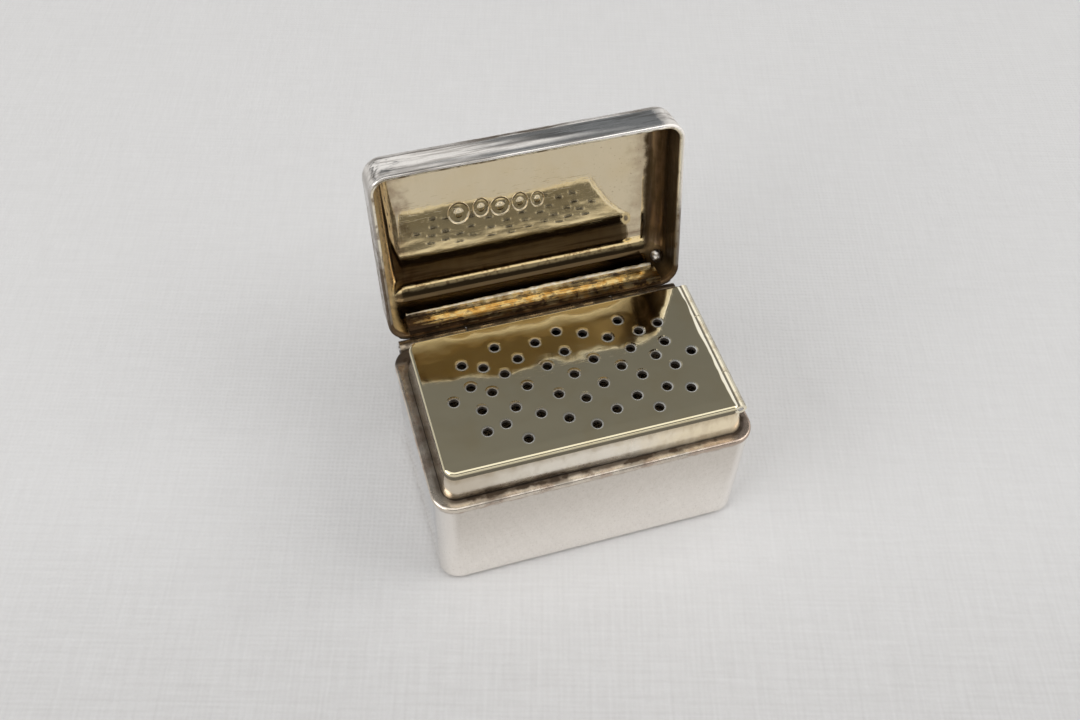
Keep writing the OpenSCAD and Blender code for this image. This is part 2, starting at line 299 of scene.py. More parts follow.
# painted highlight on the rounded corners of the walls
corner_highlight = rise(abs(x) + abs(y), 23.9, 24.5)
dull_and_shade = dull_and_shade * (1 - 0.75 * corner_highlight)
plug(shader, coats(SILVER, (dull_and_shade, tint(left_end, WARM_DULL_AND_SHADE, COOL_DULL_AND_SHADE)), (stain, TARNISH_AND_SHADOW)),
     0.065 + 0.06 * blots + 0.22 * stain, silver_relief(place) - pits * 0.004)
wear(body_silver, "base_pan", "body_wall")

# %% [markdown]
# ## The lid: silver outside, gilt inside
#
# The lid's panel and walls each carry two finishes. The open lid is turned back about its hinge, so
# the pattern is turned the other way first, to the lid as it lies shut. The distance to a rounded
# box then tells the outside from the inside, half a millimetre of sheet apart.

# %% The two sides of the lid
HINGE = Vector((0.0, 10.37, 13.32))
OPEN = math.radians(101.5)
LID_WIDTH, LID_DEPTH, LID_TOP, LID_EDGE = 31.6, 19.5, 19.25, 1.95


def shut_place(wire):
    """The place on the lid, turned to where it would be with the lid shut."""
    return wire.add("ShaderNodeVectorRotate", {"rotation_type": "X_AXIS"},
                    {"Vector": place_mm(wire), "Center": HINGE, "Angle": OPEN})


def lid_depth(place):
    """Distance to the outside of the lid: 0 there and about -0.5 inside."""
    core = (LID_WIDTH / 2 - LID_EDGE, LID_DEPTH / 2 - LID_EDGE, LID_TOP - LID_EDGE)
    corner = vector(vector(place, "ABSOLUTE"), "SUBTRACT", core)
    return vector(vector(corner, "MAXIMUM", (0, 0, 0)), "LENGTH") - LID_EDGE


def lid_noise(place):
    """Blots, fine grain and long streaks, which both sides share."""
    return (cloud(place, 0.8, 4.0, 0.6), cloud(place, 3.0, 4.0, 0.6),
            cloud(place, 1.0, 4.0, 0.6, (0.11, 1.9, 1.9)))


def lip_stain(y, z, blots):
    """Tarnish on the lip, more of it towards the hinge."""
    towards_hinge = rise(y + blots, 7.6, 8.8) + 0.8 * rise(y + blots * 7.0, 0.5, 5.5)
    return rise(z, 14.7, 14.3) * towards_hinge


# %% [markdown]
# Inside, the panel is a clear gilt mirror, while brown and black stains keep to the walls and the
# corners. Light and shade are painted in too: brown streaks across the panel for reflections, a
# more golden band for the highlight of the fillet, copper blotches for glints, and black at the
# hinge and behind the bearer that is partly tarnish and partly painted shade. Each is a coat with
# a mask of its own, laid in order: warm patches first, the black of dirt and painted shade and the
# rubbed lip last.

# %% Gilt inside
GILT, GILT_WARM, GILT_FILLET_HIGHLIGHT = (0.80, 0.69, 0.49), (0.76, 0.61, 0.37), (0.82, 0.635, 0.34)
GILT_RUBBED, GILT_SHADED, GILT_ORANGE = (0.82, 0.77, 0.66), (0.46, 0.33, 0.16), (0.80, 0.60, 0.30)
BROWN, RED_BROWN, GLINT_COPPER_BROWN = (0.19, 0.138, 0.085), (0.27, 0.18, 0.115), (0.28, 0.15, 0.055)
REFLECTION_BROWN, SIDE_BROWN, LIP_BROWN = (0.20, 0.12, 0.07), (0.14, 0.095, 0.06), (0.16, 0.10, 0.05)
LIP_WORN, BLACK_DIRT_AND_SHADE = (0.26, 0.20, 0.14), (0.080, 0.053, 0.026)


def lid_inside(place, noises, inside):
    """Colour, roughness and lack of metal of the gilt inside; the colour holds painted shade,
    highlights and reflections.
    """
    x, y, z = axes(place)
    blots, fine, along = noises
    down = cloud(place, 1.0, 3.0, 0.6, (1.7, 0.14, 1.7))
    at_sides = 1.15 * rise(x + blots * 0.9, 13.6, 14.3) + 0.15 * rise(blots * 0.7 - x, 14.0, 14.8)
    # partly tarnish, partly painted shade: the hinge side and the wall behind the bearer are made
    # dark
    at_hinge = rise(y + blots * 0.5, 7.5, 8.0)
    behind_bearer = rise(y + blots * 0.5 + along * 0.5, 7.7, 8.1) + 0.4 * rise(y, 7.5, 7.8)
    at_front = rise(y, -8.3, -8.9) * inside
    at_left = rise(blots * 0.6 - x, 14.3, 15.1) * inside
    near_left = rise(blots * 7.0 - x, 15.0, 18.0)
    margin = rise(abs(x) + blots * 6.0, 13.8, 17.0)
    lip = rise(z, 14.5, 14.2)
    corner = rise(abs(x) + y + blots * 3.0, 23.4, 25.6)
    dark = (at_sides * rise(down + blots * 0.4, 0.52, 0.80)
            + at_hinge * rise(along + blots * 0.3, 0.56, 0.80)
            + corner * rise(fine, 0.34, 0.58))
    specks = rise(cloud(place, 4.0, 2.0, 0.5), 0.66, 0.72) * rise(x + blots * 8.0, 8.0, 14.0)
    # painted reflection: brown streaks across the panel that stand for the hinge parts mirrored in
    # it
    reflection_streaks = rise(y + blots, 4.6, 5.4) * rise(along, 0.44, 0.64)
    # painted glints: copper-brown blotches near the hinge side of the panel
    blotch = rise(0.5 * fine + 0.5 * blots, 0.51, 0.59) * rise(y, 5.6, 6.4)
    colour = coats(
        GILT,
        (0.3 * rise(cloud(place, 0.3, 2.0, 0.5), 0.42, 0.70), GILT_WARM),
        (0.4 * margin + 0.5 * specks + 0.35 * near_left, RED_BROWN),
        (0.6 * reflection_streaks, REFLECTION_BROWN),
        # painted highlight: a more golden band from the panel into the fillet at the hinge side
        (rise(y, 5.9, 6.5), GILT_FILLET_HIGHLIGHT),
        (0.6 * blotch, GLINT_COPPER_BROWN),
        (0.9 * at_sides, SIDE_BROWN),
        (at_hinge, tint(rise(along, 0.42, 0.66), GILT_SHADED, BROWN)),
        # black of dirt in the corners and on the walls, and of painted shade at the hinge and
        # behind the bearer
        (0.85 * dark + 0.70 * behind_bearer, BLACK_DIRT_AND_SHADE),
        (0.8 * at_left, tint(0.6 * rise(blots, 0.46, 0.72), GILT_ORANGE, BROWN)),
        (lip, tint(rise(blots, 0.48, 0.66), GILT_RUBBED, LIP_WORN)),
        (0.8 * lip_stain(y, z, blots), LIP_BROWN))
    roughness = (0.022 + 0.03 * blots + 0.22 * at_sides + 0.06 * at_hinge + 0.12 * dark
                 + 0.15 * lip + 0.30 * at_front + 0.30 * at_left)
    return colour, roughness, 0.5 * at_left


# %% [markdown]
# Outside, the lid is silver like the body. Its front wall is a little twisted, a patchy brown film
# lies on the left wall, and one corner has been knocked about. Dark reflections are painted onto
# the front wall, as brown streaks and as a brown band along its far edge that is partly tarnish,
# and the outer left wall is painted darker as shade. Noise breaks every film up, or it would look
# painted on.

# %% Silver outside
GREY_FILM_AND_SHADE, BROWN_FILM_AND_REFLECTION = (0.30, 0.27, 0.24), (0.13, 0.095, 0.065)
KNOCKED_CORNER = (-14.6, -8.6, 18.0)


def lid_outside(place, noises):
    """Colour with painted shade and reflections, roughness, film and relief of the silver outside.
    """
    x, y, z = axes(place)
    blots, fine, along = noises
    rubbed = rise(cloud(place, 0.5, 4.0, 0.6, (0.3, 1.0, 1.3)), 0.46, 0.70)
    front = rise(y, -8.5, -9.3)
    # painted shade: the outer left wall is made darker; the rest is rubbed film and fine grain
    dull_and_shade = ((0.10 + 0.40 * front) * rubbed + 0.7 * rise(0 - x, 15.2, 15.7)
            + 0.08 * rise(fine, 0.5, 0.7))
    patchy = 0.35 + 0.65 * rise(0.6 * blots + 0.4 * along, 0.42, 0.60)
    # partly tarnish, partly painted dark reflection: a brown band along the far edge of the front
    # wall
    edge_film_and_reflection = (rise(z + along * 1.6, 17.9, 19.0) * rise(y, -8.2, -9.2)
                 * rise(abs(x) + blots * 3.0, 16.4, 13.4) * patchy)
    left_film = rise(blots * 1.2 - x, 15.7, 16.6) * rise(y + blots * 6.0, -5.0, 2.0) * patchy
    # painted reflection: brown streaks across the front wall
    reflection_streaks = rise(along, 0.50, 0.62) * front
    stain = 0.9 * lip_stain(y, z, blots) + 0.9 * edge_film_and_reflection + 0.7 * left_film + 0.45 * reflection_streaks
    far = vector(vector(place, "SUBTRACT", KNOCKED_CORNER), "LENGTH")
    battered = rise(far, 4.5, 1.0) * cloud(place, 0.8, 2.0, 0.5)
    twist = x * (z - 16.6) * 0.004 + cloud(place, 1.0, 1.0, 0.4, (0.045, 1.0, 0.50)) * 0.10
    return (coats(SILVER, (dull_and_shade, GREY_FILM_AND_SHADE), (stain, BROWN_FILM_AND_REFLECTION)), 0.06 + 0.05 * rubbed,
            edge_film_and_reflection + left_film, battered * 0.14 + twist * front)


def lid_finish(name, inner_relief=None):
    """The two-sided finish of the lid; inner_relief adds to the inside alone."""
    material, wire, shader = new_finish(name)
    place = shut_place(wire)
    outside = rise(lid_depth(place), -0.30, -0.20)
    noises = lid_noise(place)
    gilt, gilt_roughness, dulled = lid_inside(place, noises, 1 - outside)
    silver, silver_roughness, film, dents = lid_outside(place, noises)
    filmed = film * outside
    relief = silver_relief(place, 0.02 + 0.06 * outside) + dents * outside
    if inner_relief:
        relief = relief + inner_relief(place) * (1 - outside)
    plug(shader, tint(outside, gilt, silver),
         gilt_roughness + silver_roughness * outside + 0.50 * filmed,
         relief, 1 - dulled - 0.6 * filmed)
    return material


# %% [markdown]
# A small punch struck into the panel leaves a plain sunk oval with a round pellet in it, and five
# such dents stand in a row. The same relief holds the slight lean and crown of the panel, which set
# where the grille shows in it.

# %% Punch dents and the crown of the panel
# Each dent: place across and along the lid, half width and half height, in millimetres.
PUNCHES = ((-6.60, -1.15, 1.12, 1.30), (-4.25, -1.30, 0.86, 1.15), (-2.25, -1.05, 1.05, 1.12),
           (-0.15, -1.15, 0.86, 1.12), (1.70, -1.05, 0.72, 0.94))
BEND_START = 5.7


def panel_relief(place):
    """The lean and crown of the panel with its row of plain oval dents, in millimetres."""
    x, y, _ = axes(place)
    bent = y.sum("MAXIMUM", y - BEND_START, 0.0)
    total = (y * 0.0855 + y * y * 0.0053 + x * 0.045 - x * x * 0.002
             + bent * bent * 0.09 + rise(abs(x), 13.0, 15.3) * 0.8)
    for across, along, wide, high in PUNCHES:
        flat = vector(place, "SUBTRACT", (across, along, 0))
        far = vector(vector(flat, "MULTIPLY", (1 / wide, 1 / high, 0)), "LENGTH")
        total = total - rise(far, 1.04, 0.84) * 0.045 + rise(far, 0.50, 0.25) * 0.035
    return total


lid_panel_gilt = lid_finish("lid_panel_gilt", panel_relief)
wear(lid_panel_gilt, "lid_panel")
lid_wall_gilt = lid_finish("lid_wall_gilt")

# %% [markdown]
# ## The lid's walls
#
# The walls of the lid end in a lip that use has worn round, and a round lip is what catches the
# light as one bright line. A face with round corners is inset to the thickness of the sheet and
# drawn up to the panel; the two edges of the lip are then bevelled, except at the back, where the
# lip meets the tube of the hinge. Last, the piece is turned open about the hinge, as the solid it
# stands for was.

# %% Helpers for new pieces
def rounded_sheet(width, depth, corner):
    """A flat face with round corners, its long sides cut into short runs."""
    shape = bmesh.new()
    bmesh.ops.create_grid(shape, x_segments=1, y_segments=1, size=0.5)
    bmesh.ops.scale(shape, vec=(width, depth, 1), verts=shape.verts[:])
    bmesh.ops.bevel(shape, geom=shape.verts[:], offset=corner, offset_type="OFFSET",
                    affect="VERTICES", segments=12, profile=0.5, material=-1)
    runs = [edge for edge in shape.edges if edge.calc_length() > 4 * MM]
    bmesh.ops.subdivide_edges(shape, edges=runs, cuts=30)
    return shape


def quarter_turn(shape, axis, corners):
    """Turns corners by a right angle about an axis through the origin."""
    bmesh.ops.rotate(shape, cent=(0, 0, 0), matrix=Matrix.Rotation(math.radians(90), 3, axis),
                     verts=corners)


def turn_open(shape):
    """Turns what is drawn on the shut lid to the open lid."""
    bmesh.ops.rotate(shape, cent=HINGE * MM, matrix=Matrix.Rotation(-OPEN, 3, "X"),
                     verts=shape.verts[:])


def make_piece(name, shape, material, body, solid=None):
    """A finished bmesh as a piece that rides on a body."""
    bmesh.ops.recalc_face_normals(shape, faces=shape.faces[:])
    mesh = bpy.data.meshes.new(name)
    shape.to_mesh(mesh)
    shape.free()
    mesh.shade_smooth()
    mesh.materials.append(material)
    piece = bpy.data.objects.new(name, mesh)
    bpy.context.scene.collection.objects.link(piece)
    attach(piece, body)
    if solid:
        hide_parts(solid)
    print(name, "faces:", len(mesh.polygons))
    return piece


# %% Lid walls
SHEET = 0.5 * MM
LIP = 13.98 * MM
LIP_ROUNDING = 0.21 * MM
LIP_WEAR = 0.05 * MM
PANEL_DROP = 2.4
TUBE_START, WEAR_END = 9.2 * MM, 8.5 * MM

shape = rounded_sheet(LID_WIDTH * MM, LID_DEPTH * MM, 2.0 * MM)
inner = shape.faces[:]
bmesh.ops.inset_region(shape, faces=inner, thickness=SHEET, use_even_offset=True,
                       use_boundary=True)
bmesh.ops.delete(shape, geom=inner, context="FACES")
grown = bmesh.ops.extrude_face_region(shape, geom=shape.faces[:], use_keep_orig=True)["geom"]
bmesh.ops.translate(shape, vec=(0, 0, (LID_TOP - PANEL_DROP) * MM - LIP),
                    verts=[part for part in grown if isinstance(part, bmesh.types.BMVert)])
bmesh.ops.recalc_face_normals(shape, faces=shape.faces[:])
lip_edges = [edge for edge in shape.edges
             if max(corner.co.z for corner in edge.verts) < 0.01 * MM
             and edge.calc_face_angle(0.0) > 0.5
             and min(corner.co.y for corner in edge.verts) < TUBE_START]
bmesh.ops.bevel(shape, geom=lip_edges, offset=LIP_ROUNDING, offset_type="OFFSET", affect="EDGES",
                segments=5, profile=0.5, material=-1, clamp_overlap=True)
for corner in shape.verts:
    if corner.co.z < 0.3 * MM and corner.co.y < WEAR_END:
        corner.co.z += LIP_WEAR * (noise.noise(corner.co / MM * 0.35) + 0.6)
bmesh.ops.translate(shape, vec=(0, 0, LIP), verts=shape.verts[:])
for edge in shape.edges:
    edge.smooth = edge.calc_face_angle(0.0) < 1.0
turn_open(shape)
lid_walls = make_piece("lid_walls", shape, lid_wall_gilt, "lid", "lid_band")
even = lid_walls.modifiers.new("even_shading", "WEIGHTED_NORMAL")
even.keep_sharp = True

# %% [markdown]
# A punch also pushes up a fine rim of metal round its dent and leaves the pellet standing. Both are
# real metal, so they are modelled: a small circle spun into a ring and drawn out to an oval, and a
# pressed ball in its middle. Each is half sunk in the panel, as a burr is.

# %% Punch rims
PANEL_INSIDE = 18.75
RIM = 0.055 * MM

shape = bmesh.new()
for across, along, wide, high in PUNCHES:
    before = len(shape.verts)
    bmesh.ops.create_circle(shape, segments=10, radius=RIM)
    profile = shape.verts[before:]
    quarter_turn(shape, "X", profile)
    bmesh.ops.translate(shape, vec=(1.0 * MM, 0, 0), verts=profile)
    outline = list({edge for corner in profile for edge in corner.link_edges})
    bmesh.ops.spin(shape, geom=profile + outline, cent=(0, 0, 0), axis=(0, 0, 1), angle=math.tau,
                   steps=48, use_merge=True)
    shape.verts.ensure_lookup_table()
    bmesh.ops.scale(shape, vec=(wide, high, 1), verts=shape.verts[before:])
    pellet = bmesh.ops.create_icosphere(shape, subdivisions=3, radius=0.34 * wide * MM)["verts"]
    bmesh.ops.scale(shape, vec=(1, high / wide, 0.16), verts=pellet)
    shape.verts.ensure_lookup_table()
    bmesh.ops.translate(shape, vec=Vector((across, along, PANEL_INSIDE)) * MM,
                        verts=shape.verts[before:])
turn_open(shape)
make_piece("punch_rims", shape, lid_panel_gilt, "lid")

# %% [markdown]
# ## The grille and the collar
#
# The grille is thin gilt sheet, polished like the lid and slightly buckled by the punch that made
# its holes; it leans back a few degrees, which is why so much of the lid shows in it. Light and
# shade
# are painted on it: the throats of the holes, the underside and the back edge are dark as shade,
# the rims round the holes are paler as a sheen, and the curled right edge is pale as a highlight.
# The collar under it is paler, because fingers have rubbed its gilding thin, dirt stays in the
# seams above and below it, and its back, which faces the open lid, is painted dark as shade.

# %% Grille finish
GRILLE_OUTLINE = (14.7, 8.1, 1.1, -0.55)
GRILLE_TOP = 17.75
GRILLE_GOLD, GRILLE_WARM = (0.83, 0.745, 0.52), (0.79, 0.67, 0.42)
CURL_HIGHLIGHT, RING_SHEEN, HOLE_SHADE = (0.93, 0.89, 0.78), (0.88, 0.87, 0.84), (0.03, 0.022, 0.016)

grille_gilt, wire, shader = new_finish("grille_gilt")
place = place_mm(wire)
x, y, z = axes(place)
blots = cloud(place, 0.5, 4.0, 0.6)
thin = rise(cloud(place, 0.25, 3.0, 0.6), 0.42, 0.72)
edge = rise(outline_distance(place, *GRILLE_OUTLINE), -0.40, -0.25)
# painted sheen: the dished rim round each hole is paler
ring = rise(z, 17.73, 17.68) * (1 - edge)
# painted shade: the throats of the holes are made nearly black
throat = rise(z, 17.66, 17.63) * (1 - edge)
# painted shade on the underside and the back edge of the plate
under = rise(z, 17.52, 17.36) * edge + rise(y, 7.25, 7.40) * edge
# the curl bends the relief, and its pale coat below is a painted highlight
curl = x.sum("MAXIMUM", x + cloud(place, 0.30, 2.0, 0.5) * 0.6 - 13.95, 0.0)
sag = y.sum("MAXIMUM", -7.2 - y, 0.0)
lean = y * -0.056 - x * x * y * -0.00007
buckles = cloud(place, 0.24, 1.0, 0.4) * 0.075 + cloud(place, 0.8, 1.0, 0.4) * 0.006
scratches = (hairlines(place, (0.5, 10.0, 3.0)) * 0.0004
             + hairlines(place, (9.0, 0.7, 3.0)) * 0.0003)
dishes = (GRILLE_TOP - z) * (1 - edge) * 1.4
colour = coats(GRILLE_GOLD, (0.5 * thin, GRILLE_WARM), (0.7 * rise(curl, 0.05, 0.2), CURL_HIGHLIGHT),
               (0.85 * ring, RING_SHEEN), (0.97 * throat + 0.8 * under, HOLE_SHADE))
plug(shader, colour, 0.03 + 0.035 * blots + 0.22 * ring + 0.4 * throat + 0.25 * under,
     lean + buckles - curl * curl * 0.55 - sag * sag * 0.05 - scratches + dishes)
wear(grille_gilt, "grille_plate")

# %% Collar finish
COLLAR_PALE, COLLAR_GOLD, COLLAR_LEFT = (0.95, 0.89, 0.78), (0.95, 0.82, 0.59), (0.76, 0.68, 0.56)
COLLAR_BROWN, COLLAR_DIRT_AND_SHADE = (0.42, 0.32, 0.19), (0.07, 0.05, 0.035)

collar_gilt, wire, shader = new_finish("collar_gilt")
place = place_mm(wire)
x, y, z = axes(place)
blots = cloud(place, 0.7, 4.0, 0.6)
mottle = cloud(place, 1.0, 4.0, 0.6, (1.1, 1.1, 0.5))
seam = rise(z - blots * 0.5, 14.05, 13.75) + rise(z + blots * 0.4, 16.80, 17.0)
browned = (0.45 * rise(z + mottle * 1.2, 16.3, 17.3) + 0.35 * rise(z - mottle, 14.3, 13.7)
           + 0.14 * rise(mottle, 0.48, 0.66))
# painted shade: the back of the collar, which faces the open lid, is made dark
back_shade = rise(y, 6.6, 7.3)
colour = coats(COLLAR_PALE, (rise(x + blots * 9.0, 4.0, 16.0), COLLAR_GOLD),
               (rise(blots * 9.0 - x, 10.0, 17.0), COLLAR_LEFT), (browned, COLLAR_BROWN),
               (0.85 * seam + 0.88 * back_shade, COLLAR_DIRT_AND_SHADE))
plug(shader, colour, 0.12 + 0.10 * blots + 0.2 * seam + 0.3 * back_shade, silver_relief(place),
     1 - 0.45 * rise(x, -4.0, 9.0))
wear(collar_gilt, "collar")

# %% [markdown]
# ## The ledge
#
# The lid has closed on this ledge some thousands of times. Its silver is worn through to a copper
# tint in places, it is pitted, dirt fills the seam at the foot of the collar, and the rim is bright
# where the lip of the lid rubs. Its back, under the open lid, is painted dark as shade.

# %% Ledge finish
COLLAR_OUTLINE = (15.05, 8.45, 1.45, -0.55)
LEDGE_BARE, LEDGE_COPPER, LEDGE_DIRT_AND_SHADE = (0.74, 0.66, 0.56), (0.44, 0.33, 0.26), (0.08, 0.06, 0.045)

ledge_silver, wire, shader = new_finish("ledge_silver")
place = place_mm(wire)
x, y, _ = axes(place)
blots = cloud(place, 0.9, 5.0, 0.65)
away = outline_distance(place, *COLLAR_OUTLINE)
left_side = rise(0 - x, 14.2, 15.2)
seam = rise(away + blots * 0.6, 1.00, 0.55) * (1 - 0.4 * left_side)
copper = rise(cloud(place, 0.40, 4.0, 0.6) + 0.15 * rise(x, 6.0, 13.0), 0.46, 0.62)
dirt = (rise(cloud(place, 0.55, 4.0, 0.6), 0.44, 0.64) * rise(away, 1.20, 0.95)
        * (1 - 0.5 * left_side))
# painted shade: the back of the ledge, under the open lid, is made dark
back_shade = rise(y, 7.6, 8.4)
colour = coats(LEDGE_BARE, (0.75 * copper, LEDGE_COPPER),
               (0.88 * seam + 0.5 * dirt + 0.93 * back_shade, LEDGE_DIRT_AND_SHADE))
plug(shader, colour, 0.15 + 0.16 * blots + 0.15 * seam + 0.1 * dirt + 0.2 * back_shade,
     silver_relief(place) + cloud(place, 1.5, 3.0, 0.6) * 0.02)
wear(ledge_silver, "ledge_frame")

# %% [markdown]
# ## Hinges
#
# The tubes of the lid's hinge are drawn silver, darker than the sheet because tarnish stays between
# them, and small grey plugs close their ends. The tubes of the grille's hinge are gilt like the
# grille. The pins are steel wire.

# %% Hinge tubes, plugs and pins
TUBE_CLEAN, TUBE_STAIN = (0.50, 0.41, 0.30), (0.06, 0.043, 0.03)
PLUG_PALE, PLUG_GREY = (0.62, 0.62, 0.63), (0.34, 0.33, 0.32)
TUBE_GILT, TUBE_BROWN = (0.92, 0.84, 0.64), (0.40, 0.28, 0.14)
WIRE_GREY, WIRE_PALE = (0.42, 0.41, 0.40), (0.60, 0.59, 0.58)

tube_silver, wire, shader = new_finish("tube_silver")
place = place_mm(wire)
stain = rise(cloud(place, 0.8, 4.0, 0.6), 0.34, 0.60)
plug(shader, tint(0.85 * stain, TUBE_CLEAN, TUBE_STAIN), 0.22 + 0.15 * stain,
     silver_relief(place))
wear(tube_silver, "body_knuckle_left", "body_knuckle_right", "lid_knuckle", "body_bearer")

plug_silver, wire, shader = new_finish("plug_silver")
blots = cloud(place_mm(wire), 1.6, 3.0, 0.6)
plug(shader, tint(rise(blots, 0.45, 0.7), PLUG_PALE, PLUG_GREY), 0.30 + 0.15 * blots,
     blots * 0.05)
wear(plug_silver, "pin_plug_left", "pin_plug_right")

grille_tube, wire, shader = new_finish("grille_tube")
place = place_mm(wire)
x, _, _ = axes(place)
stain = rise(cloud(place, 0.8, 4.0, 0.6), 0.52, 0.70)
plug(shader, tint(0.4 * stain, TUBE_GILT, TUBE_BROWN), 0.10 + 0.1 * stain,
     silver_relief(place) - x * 0.35)
wear(grille_tube, "grille_knuckle", "collar_knuckle_front", "collar_knuckle_back")

pin_wire, wire, shader = new_finish("pin_wire")
drawn = cloud(place_mm(wire), 1.0, 2.0, 0.5, (0.3, 20.0, 20.0))
plug(shader, tint(drawn, WIRE_GREY, WIRE_PALE), 0.28 + 0.12 * drawn, drawn * 0.002)
wear(pin_wire, "lid_hinge_pin", "grille_hinge_pin")

# %% [markdown]
# The bearer strip inside the lid is gilt and badly tarnished: lines of brown run along it, black
# blotches lie across them, and its foot and its left end have gone dark.

# %% Bearer in the lid
BEARER_GOLD, BEARER_ORANGE, BEARER_DARK = (0.86, 0.74, 0.46), (0.80, 0.53, 0.19), (0.08, 0.05, 0.03)
BEARER_MIDDLE = 15.1

bearer_gilt, wire, shader = new_finish("bearer_gilt")
place = shut_place(wire)
x, _, z = axes(place)
blots = cloud(place, 0.9, 4.0, 0.6)
lines = cloud(place, 1.0, 4.0, 0.6, (0.10, 1.4, 2.4))
foot = rise(z - blots * 0.5, 14.35, 14.0)
left_end = rise(blots * 2.0 - x, 11.6, 13.4)
blotches = rise(cloud(place, 1.1, 5.0, 0.65), 0.51, 0.60)
stain = rise(lines + blots * 0.35, 0.66, 0.84) + foot + left_end + 0.8 * blotches
crown = z - BEARER_MIDDLE
colour = coats(BEARER_GOLD, (rise(blots, 0.42, 0.60), BEARER_ORANGE), (0.7 * stain, BEARER_DARK))
plug(shader, colour, 0.10 + 0.18 * stain,
     silver_relief(place) + lines * 0.05 - crown * crown * 0.16)
wear(bearer_gilt, "lid_bearer")

# %% [markdown]
# ## Solder
#
# Two traces of the maker's blowpipe are left in the lid: a rough seam of solder along the bearer of
# the hinge, and one grey drop in the corner next to it. The seam is a small ring drawn along the
# lid step by step, a little thicker or thinner each time and thin at its left end, where the solder
# ran out; the drop is a pressed ball.

# %% Solder seam
SOLDER_GOLD, SOLDER_PALE, SOLDER_BURNT = (0.80, 0.66, 0.40), (0.86, 0.80, 0.67), (0.14, 0.09, 0.05)
SEAM_START, SEAM_LENGTH, SEAM_STEPS = Vector((-13.6, 8.74, 16.68)), 27.2, 160
STEPS_TO_FULL = 60

solder, wire, shader = new_finish("solder")
place = shut_place(wire)
grain = cloud(place, 2.6, 4.0, 0.65)
burnt = rise(cloud(place, 0.5, 3.0, 0.6), 0.48, 0.64)
colour = coats(SOLDER_GOLD, (rise(grain, 0.35, 0.6), SOLDER_PALE), (0.50 * burnt, SOLDER_BURNT))
plug(shader, colour, 0.25 + 0.22 * grain, grain * 0.16, 0.55)

shape = bmesh.new()
bmesh.ops.create_circle(shape, cap_ends=True, segments=10, radius=0.22 * MM)
quarter_turn(shape, "Y", shape.verts[:])
bmesh.ops.translate(shape, vec=SEAM_START * MM, verts=shape.verts[:])
end = shape.faces[:][0]
for step in range(SEAM_STEPS):
    end = bmesh.ops.extrude_discrete_faces(shape, faces=[end])["faces"][0]
    bmesh.ops.translate(shape, vec=Vector((SEAM_LENGTH / SEAM_STEPS, 0, 0)) * MM,
                        verts=end.verts[:])
    centre = end.calc_center_median()
    full = 0.45 + 0.55 * min(1.0, step / STEPS_TO_FULL)
    size = (0.23 + 0.10 * noise.noise(Vector((step * 0.23, 4.0, 0)))) * full * MM
    size = size / max((corner.co - centre).length for corner in end.verts)
    drift = Vector((0, 0.05 * noise.noise(Vector((step * 0.11, 9.0, 0))), 0.0)) * MM * 0.3
    bmesh.ops.scale(shape, vec=(1, size, size), space=Matrix.Translation(-centre),
                    verts=end.verts[:])
    bmesh.ops.translate(shape, vec=drift, verts=end.verts[:])
turn_open(shape)
make_piece("solder_seam", shape, solder, "lid")

# %% Solder drop
DROP_PALE, DROP_DARK = (0.62, 0.61, 0.59), (0.16, 0.14, 0.12)
DROP_PLACE, DROP_RADIUS = Vector((14.6, 8.4, 17.5)), 0.80 * MM

shape = bmesh.new()
bmesh.ops.create_icosphere(shape, subdivisions=4, radius=DROP_RADIUS)
for corner in shape.verts:
    corner.co *= 1 + 0.22 * noise.noise(corner.co / MM * 2.2)
bmesh.ops.scale(shape, vec=(0.75, 0.85, 1.0), verts=shape.verts[:])
bmesh.ops.translate(shape, vec=DROP_PLACE * MM, verts=shape.verts[:])
turn_open(shape)

drop_grey, wire, shader = new_finish("drop_grey")
grain = cloud(shut_place(wire), 2.2, 4.0, 0.65)
plug(shader, tint(rise(grain, 0.40, 0.62), DROP_PALE, DROP_DARK), 0.24 + 0.2 * grain,
     grain * 0.15)
make_piece("solder_drop", shape, drop_grey, "lid")

# %% [markdown]
# ## The sponge
#
# A piece of sponge, cut to the box, lies under the grille. It is soft, so its plain solid gives way
# to a piece with rounded sides and open pores. A subdivided block is pushed in by cell noise, only
# ever inwards, so that it stays clear of the silver round it.

# %% Sponge
SPONGE_BROWN, SPONGE_TAN, PORE_SHADE = (0.13, 0.085, 0.045), (0.24, 0.165, 0.09), (0.03, 0.02, 0.01)
ROUNDING = 0.16


def on_ball(place):
    """Where a place on a cube of half-size 1 lies once the cube is blown up to a ball."""
    x, y, z = place
    return Vector([c * math.sqrt(max(0.0, 1 - (a * a + b * b) / 2 + a * a * b * b / 3))
                   for c, a, b in ((x, y, z), (y, z, x), (z, x, y))])


low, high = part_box("sponge")
centre, span = (low + high) / 2, high - low
shape = bmesh.new()
bmesh.ops.create_cube(shape, size=1.0)
bmesh.ops.subdivide_edges(shape, edges=shape.edges[:], cuts=48, use_grid_fill=True)
for corner in shape.verts:
    unit = corner.co * 2
    soft = unit.lerp(on_ball(unit), ROUNDING)
    spot = Vector([centre[i] + soft[i] * span[i] / 2 for i in range(3)])
    cell = noise.voronoi(spot / MM * 0.55)[0][0]
    fine = noise.voronoi(spot / MM * 1.3)[0][0]
    pore = max(0.0, 0.45 - cell) * 1.1 + max(0.0, 0.35 - fine) * 0.5
    corner.co = spot + (centre - spot).normalized() * pore * MM

sponge_tan, wire, shader = new_finish("sponge_tan")
place = place_mm(wire)
pores = place.add("ShaderNodeTexVoronoi", {"feature": "F1"}, {"Vector": place, "Scale": 1.6})
